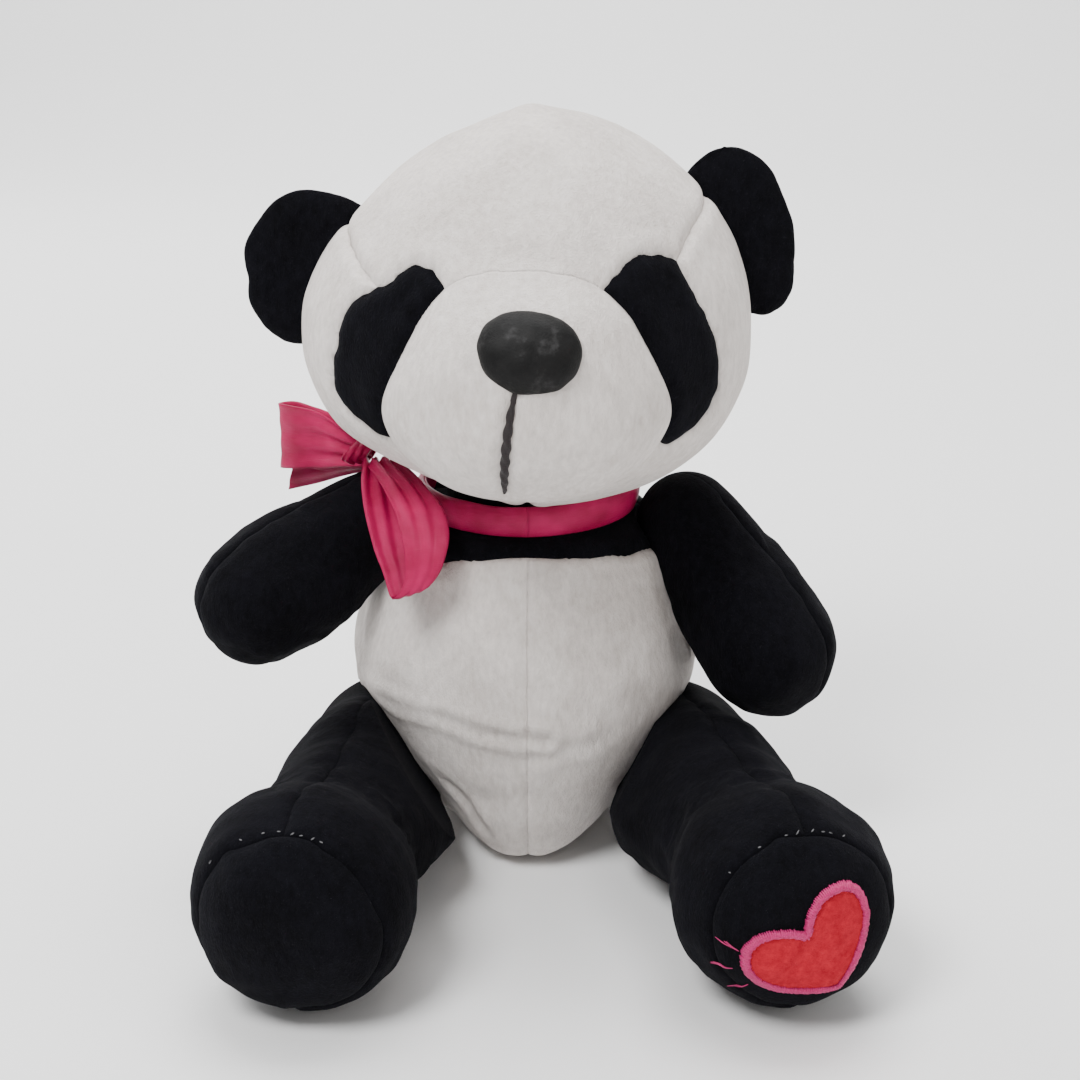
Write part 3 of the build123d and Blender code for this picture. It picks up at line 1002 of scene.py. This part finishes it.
def build_closing_stitches():
    parts = []
    for k in range(6):
        z = 45.5 + 2.9 * k
        slant = [(-1.7, 60, z - 0.5), (-0.6, 60, z), (0.6, 60, z + 0.2), (1.7, 60, z + 0.6)]
        ends = onto(torso_tree, slant, (0, -1, 0), 0.25)
        parts.append(sweep(path(ends, 9), taper(9, 0.42, 0.5), 8))
    points, faces = joined(parts)
    make("closing_stitches", points, faces, BLACK_THREAD, "torso")


build_closing_stitches()


NECK_JOINT = array([0, -8, 116.5])
NECK_R = 25.0


def build_neck():
    """Fabric neck: a zone of a ball round the neck joint, so that it fits at any turn of the head."""
    around, rings = 96, 24
    angle = np.linspace(0, 2 * math.pi, around, endpoint=False)
    rows = []
    for tilt in np.radians(np.linspace(-24, 30, rings)):
        r = NECK_R * math.cos(tilt) + 0.25 * np.cos(angle * 12)
        z = np.full(around, NECK_R * math.sin(tilt))
        rows.append(NECK_JOINT + np.stack([r * np.cos(angle), r * np.sin(angle), z], 1))
    points = np.concatenate(rows)
    faces = outward(points, tube_grid(rings, around), NECK_JOINT)
    inner = points - normals(points, faces) * FABRIC
    shell("neck_sleeve", points, faces, inner, BLACK, "neck")


build_neck()


# ---------------------------------------------------------------- sole details
sole_trees = {
    side: BVHTree.FromPolygons(leg["points"].tolist(), leg["faces"].tolist()) for side, leg in legs.items()
}


def sole_plane(leg):
    along, level, rise = leg["axes"]
    centre = leg["hip"] + along * (leg["length"] + 60)
    right = array([level[0], level[1], 0]) * np.sign(level[0])
    return centre, right, rise if rise[2] > 0 else -rise, along


def on_sole(side, flat, lift):
    """Flat (right, up) points laid on a sole."""
    centre, right, up, along = sole_plane(legs[side])
    start = centre + np.outer(flat[:, 0], right) + np.outer(flat[:, 1], up)
    return onto(sole_trees[side], start, -along, lift)


def build_specks(side, seed):
    """Short light stitches showing in the sole seam."""
    rng = np.random.default_rng(seed)
    parts = []
    seam_r = FOOT_R[side] - 4.6
    for degrees in (66, 71, 80, 84, 92, 101, 118, 139):
        angle = math.radians(degrees + rng.uniform(-3, 3))
        slant = rng.uniform(-0.5, 0.5)
        ends = []
        for t in (-1, 0, 1):
            turn = angle + t * 0.018
            ends.append((seam_r * math.cos(turn), seam_r * math.sin(turn) + slant * t))
        line = on_sole(side, array(ends), 0.15)
        parts.append(sweep(path(line, 7), taper(7, 0.2, 0.4), 7))
    points, faces = joined(parts)
    make(f"sole_specks_{side}", points, faces, SPECK_THREAD, f"leg_{side}")


build_specks("left", 3)
build_specks("right", 4)

HEART = [
    (0, 6.2), (4.5, 11), (10, 13), (15.4, 11.2), (18.2, 6), (17.4, 0.5), (13, -5.5), (6.5, -11.2), (0, -15.6),
    (-6.5, -11.8), (-13.4, -6.2), (-17.6, 0), (-18.2, 6), (-15, 11), (-9.8, 12.6), (-4.3, 10.6),
]
HEART_AT = array([0.8, -3.6])
HEART_LEAN = math.radians(31)


def heart_outline(count, grow=0.0):
    """Points on the edge of the heart, moved outwards by a distance."""
    tip = HEART[:9]
    other = [*HEART[8:], HEART[0]]
    line = np.concatenate([path(tip, count // 2 + 1)[:-1], path(other, count // 2 + 1)[:-1]])
    ahead = unit(np.roll(line, -1, axis=0) - np.roll(line, 1, axis=0))
    line = line + np.stack([-ahead[:, 1], ahead[:, 0]], 1) * grow
    c, s = math.cos(HEART_LEAN), math.sin(HEART_LEAN)
    return line @ array([[c, s], [-s, c]]) + HEART_AT


def build_heart():
    count, rings = 200, 30
    rim = heart_outline(count)
    middle = HEART_AT + array([0.8, -1.2])
    rows = []
    for k in range(1, rings + 1):
        share = k / rings
        rows.append(on_sole("left", middle + (rim - middle) * share, 0.95 - 0.55 * share**6))
    rows.append(on_sole("left", rim, -0.3))
    base = on_sole("left", middle[None], -0.3)
    points = np.concatenate([*rows, [rows[0].mean(axis=0)], base])
    make("heart_patch", points, capped(len(rows), count), FELT, "leg_left")

    rng = np.random.default_rng(12)
    along = legs["left"]["axes"][0]
    stitches = 190
    inner = heart_outline(stitches, -1.25)
    outer = heart_outline(stitches, 0.95)
    parts = []
    for k in range(stitches):
        wobble = rng.uniform(-0.22, 0.22, 2)
        a = inner[k] + (inner[k] - outer[k]) * wobble[0] * 0.4
        b = outer[k] + (outer[k] - inner[k]) * wobble[1] * 0.4
        flat = np.stack([a + (b - a) * t for t in (0, 0.2, 0.5, 0.8, 1)])
        line = on_sole("left", flat, 0.0) + np.outer([0.55, 1.25, 1.45, 1.0, 0.05], along)
        parts.append(sweep(path(line, 8), taper(8, 0.36, 0.6), 6))
    points, faces = joined(parts)
    make("heart_edging", points, faces, HEART_THREAD, "leg_left")
    # loose thread ends beside the left lobe
    tufts = (((-19.5, -3), (-0.8, 0.6), 5), ((-20.5, -9), (-0.9, -0.2), 4), ((-16, -14.5), (-0.7, -0.7), 4.5))
    parts = []
    for start, way, long in tufts:
        for _ in range(3):
            spread = rng.uniform(-0.5, 0.5, 2)
            straight = array(way) * long
            ends = array([array(start) + straight * t + spread * t**2 * 2.2 for t in (0, 0.35, 0.7, 1)])
            line = on_sole("left", ends, 0.35) + np.outer([0, 0.5, 0.9, 0.6], along)
            parts.append(sweep(path(line, 12), taper(12, 0.16, 0.5), 5))
    points, faces = joined(parts)
    make("heart_loose_threads", points, faces, HEART_THREAD, "leg_left")


build_heart()


# ---------------------------------------------------------------- ribbon
RIBBON = 0.45
RIBBON_WIDE = 25.0
PLEATS = 3
BAND_HALF_WIDE = 33.6
BAND_HALF_DEEP = 32.6
BAND_Z = 114.5
BAND_DROP = 2.3       # how much lower the band lies at the back


def strip(name, ribs, flat_length):
    """Ribbon from a grid of ribs: points[along][across]."""
    grid = array(ribs)
    rows, cols = grid.shape[:2]
    points = grid.reshape(-1, 3)
    faces = grid_quads(np.arange(rows * cols).reshape(rows, cols))
    half = normals(points, faces) * RIBBON / 2
    piece = shell(name, points + half, faces, points - half, SATIN, "torso")
    return piece


def length_of(line):
    return float(np.linalg.norm(np.diff(line, axis=0), axis=1).sum())


def build_band():
    """The ribbon round the neck, its width gathered in three soft layers."""
    fold = path([(0.2, -4.2), (1.1, -2.2), (1.5, 0.6), (0.9, 3.0), (-0.2, 3.9), (-0.9, 2.4), (-0.4, 0.2),
                 (0.1, -2.2), (-0.5, -3.6), (-1.1, -2.0), (-1.0, 0.8), (-1.3, 3.4)], 48)
    ribs = []
    turns = 200
    for k in range(turns + 1):
        angle = 2 * math.pi * k / turns - math.pi / 2
        wave = 0.5 * math.sin(angle * 5 + 1) + 0.3 * math.sin(angle * 11)
        out = array([math.cos(angle), math.sin(angle), 0])
        rise = 0.6 * math.cos(angle) * (1 if math.cos(angle) > 0 else 0.2)
        level = BAND_Z - BAND_DROP * float(step(math.sin(angle), -0.3, 0.9))
        y = TORSO_Y + BAND_HALF_DEEP * math.sin(angle)
        spot = array([BAND_HALF_WIDE * math.cos(angle), y, level + rise + 0.25 * wave])
        tall = 1.14 + 0.04 * wave
        ribs.append([spot + out * (a + 0.15 * wave) + array([0, 0, b * tall]) for a, b in fold])
    round_neck = length_of(array([rib[len(fold) // 2] for rib in ribs]))
    strip("ribbon_band", ribs, round_neck * length_of(fold) / RIBBON_WIDE)


build_band()


def ribbon_strip(name, stations, across=22, along=70, wide=RIBBON_WIDE):
    """Ribbon through stations of centre, width vector and pleat depth."""
    centres = path([s[0] for s in stations], along)
    t = np.linspace(0, 1, len(stations))
    fine = np.linspace(0, 1, along)
    widths = np.stack([smooth(list(zip(t, [s[1][k] for s in stations])), fine) for k in range(3)], 1)
    depth = smooth(list(zip(t, [s[2] for s in stations])), fine)
    ahead = unit(np.gradient(centres, axis=0))
    face = unit(np.cross(widths, ahead))
    ribs = []
    for k in range(along):
        v = np.linspace(-0.5, 0.5, across)
        wave = depth[k] * np.sin(v * 2 * math.pi * PLEATS + 0.6)
        bow = 1.6 * (0.25 - v**2)
        ribs.append(centres[k] + np.outer(v, widths[k]) + np.outer(wave + bow, face[k]))
    grid = array(ribs)
    a = grid[1:, :-1] - grid[:-1, :-1]
    b = grid[:-1, 1:] - grid[:-1, :-1]
    area = np.linalg.norm(np.cross(a, b), axis=-1).sum()
    return strip(name, grid, area / wide)


def build_bow():
    side = [
        ((-49, -7, 127), (0.5, -1, 9), 1.3),
        ((-57, -2, 128), (0.5, -1, 15), 1.0),
        ((-67, 3, 129), (0, -1, 20), 0.5),
        ((-75, 7, 129.5), (0, 0, 21), 0.2),
        ((-78.5, 5, 129.5), (0, 1, 21), 0.1),
        ((-75, 1.5, 130), (0, 1, 20), 0.2),
        ((-67, -1, 130), (0, 0, 18), 0.5),
        ((-58, -5, 129), (-0.5, 0, 13), 1.0),
        ((-50, -8, 127.5), (-0.5, 0, 8), 1.3),
    ]
    loop = ribbon_strip("bow_loop_side", side)
    tail = [
        ((-50, -4, 125), (0, -1, 9), 1.2),
        ((-59, 1, 123.5), (1, -1, 13), 0.9),
        ((-68, 5, 121), (2, -1, 16), 0.6),
        ((-75, 7, 119), (4, -1, 17), 0.3),
    ]
    end = ribbon_strip("bow_tail", tail)
    for piece in (loop, end):
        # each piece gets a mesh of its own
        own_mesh(piece)
    front = [
        ((-46, -11.5, 127), (9, 3, 0), 1.2),
        ((-44, -23, 122.5), (13, 4, -1), 0.9),
        ((-41.5, -34, 115), (14, 5, -2), 0.5),
        ((-38.5, -44, 105), (12, 4, 0), 0.3),
        ((-35, -50, 97), (9, 2, 2), 0.2),
        ((-32, -49.5, 100.5), (11, 1, 3), 0.2),
        ((-30, -46, 109), (14, 2, 1), 0.4),
        ((-31.5, -39, 117.5), (14, 3, -1), 0.7),
        ((-37, -28, 123.5), (12, 3, -1), 1.0),
        ((-45, -14, 127), (9, 3, 0), 1.2),
    ]
    ribbon_strip("bow_loop_front", front)
    knot = [
        ((-52.5, -9.5, 125.4), (6.5, 3, 0), 0.5),
        ((-53.6, -12.3, 127.3), (7.5, 3, 0), 0.4),
        ((-52.5, -13.2, 129.5), (7.5, 3, 0), 0.3),
        ((-50.5, -9, 131.4), (7.5, 3, 0), 0.3),
        ((-50.5, -4.6, 129.8), (7.5, 3, 0), 0.3),
        ((-51, -4.2, 127.2), (7.5, 3, 0), 0.4),
        ((-51.8, -7, 125.5), (6.5, 3, 0), 0.5),
    ]
    ribbon_strip("bow_knot", knot, along=60, wide=RIBBON_WIDE / 2)


build_bow()


# ---------------------------------------------------------------- stuffing plugs stay, with a soft look
for plug in ("neck_plug", "shoulder_left_plug", "shoulder_right_plug", "hip_left_plug", "hip_right_plug"):
    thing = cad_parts[plug]
    thing.data.materials.clear()
    thing.data.materials.append(STUFFING)


# ---------------------------------------------------------------- floor, light and camera
def build_floor():
    made, tree, shader = material("studio_floor", (0.93, 0.93, 0.93), 0.9)
    soft = noise(tree, position(tree), 3, 2.0)
    paint(tree, shader, soft, [(0.3, (0.925, 0.925, 0.925)), (0.7, (0.94, 0.94, 0.94))])
    mesh = bpy.data.meshes.new("floor")
    size, rise, radius = 2.2, 2.4, 0.5
    profile = [(-size, 0.0)]
    for k in range(13):
        angle = math.pi / 2 * k / 12
        profile.append((1.2 + radius * math.sin(angle), radius - radius * math.cos(angle)))
    profile.append((1.2 + radius, rise))
    points = [(x, y, z) for y, z in profile for x in (-size, size)]
    faces = [(2 * k, 2 * k + 1, 2 * k + 3, 2 * k + 2) for k in range(len(profile) - 1)]
    mesh.from_pydata(points, [], faces)
    mesh.materials.append(made)
    mesh.polygons.foreach_set("use_smooth", [True] * len(mesh.polygons))
    floor = bpy.data.objects.new("floor", mesh)
    bpy.context.scene.collection.objects.link(floor)


def lamp(name, at, aim, size, power, color=(1, 1, 1)):
    data = bpy.data.lights.new(name, "AREA")
    data.shape = "DISK"
    data.size = size
    data.energy = power
    data.color = color
    thing = bpy.data.objects.new(name, data)
    thing.location = at
    thing.rotation_euler = (Vector(aim) - Vector(at)).to_track_quat("-Z", "Y").to_euler()
    bpy.context.scene.collection.objects.link(thing)


CAMERA_TARGET = Vector((3.8, 0, 96)) * MM
CAMERA_AWAY = 0.65
CAMERA_RISE = math.radians(20)
CAMERA_ANGLE = math.radians(29.77854)


def build_camera():
    data = bpy.data.cameras.new("camera")
    data.sensor_width = 36
    data.angle = CAMERA_ANGLE
    data.clip_start = 0.01
    thing = bpy.data.objects.new("camera", data)
    back = Vector((0, -math.cos(CAMERA_RISE), math.sin(CAMERA_RISE)))
    thing.location = CAMERA_TARGET + back * CAMERA_AWAY
    thing.rotation_euler = (-back).to_track_quat("-Z", "Y").to_euler()
    bpy.context.scene.collection.objects.link(thing)
    bpy.context.scene.camera = thing


build_floor()
build_camera()
lamp("key", (-0.45, -0.6, 1.05), (0, 0, 0.12), 0.5, 14)
lamp("fill", (0.9, -0.6, 0.45), (0, 0, 0.1), 0.9, 2.6, (1, 0.94, 0.9))
lamp("top", (0.1, 0.1, 1.2), (0, 0, 0.1), 0.9, 5)
lamp("rim", (-0.7, 0.9, 0.7), (0, 0, 0.12), 0.8, 5)
lamp("backdrop", (0.0, 0.75, 1.9), (0, 1.6, 0.5), 1.6, 50)
world = bpy.data.worlds.new("studio")
world.use_nodes = True
sky = world.node_tree.nodes["Background"]
sky.inputs["Color"].default_value = (1, 1, 1, 1)
sky.inputs["Strength"].default_value = 0.37
bpy.context.scene.world = world
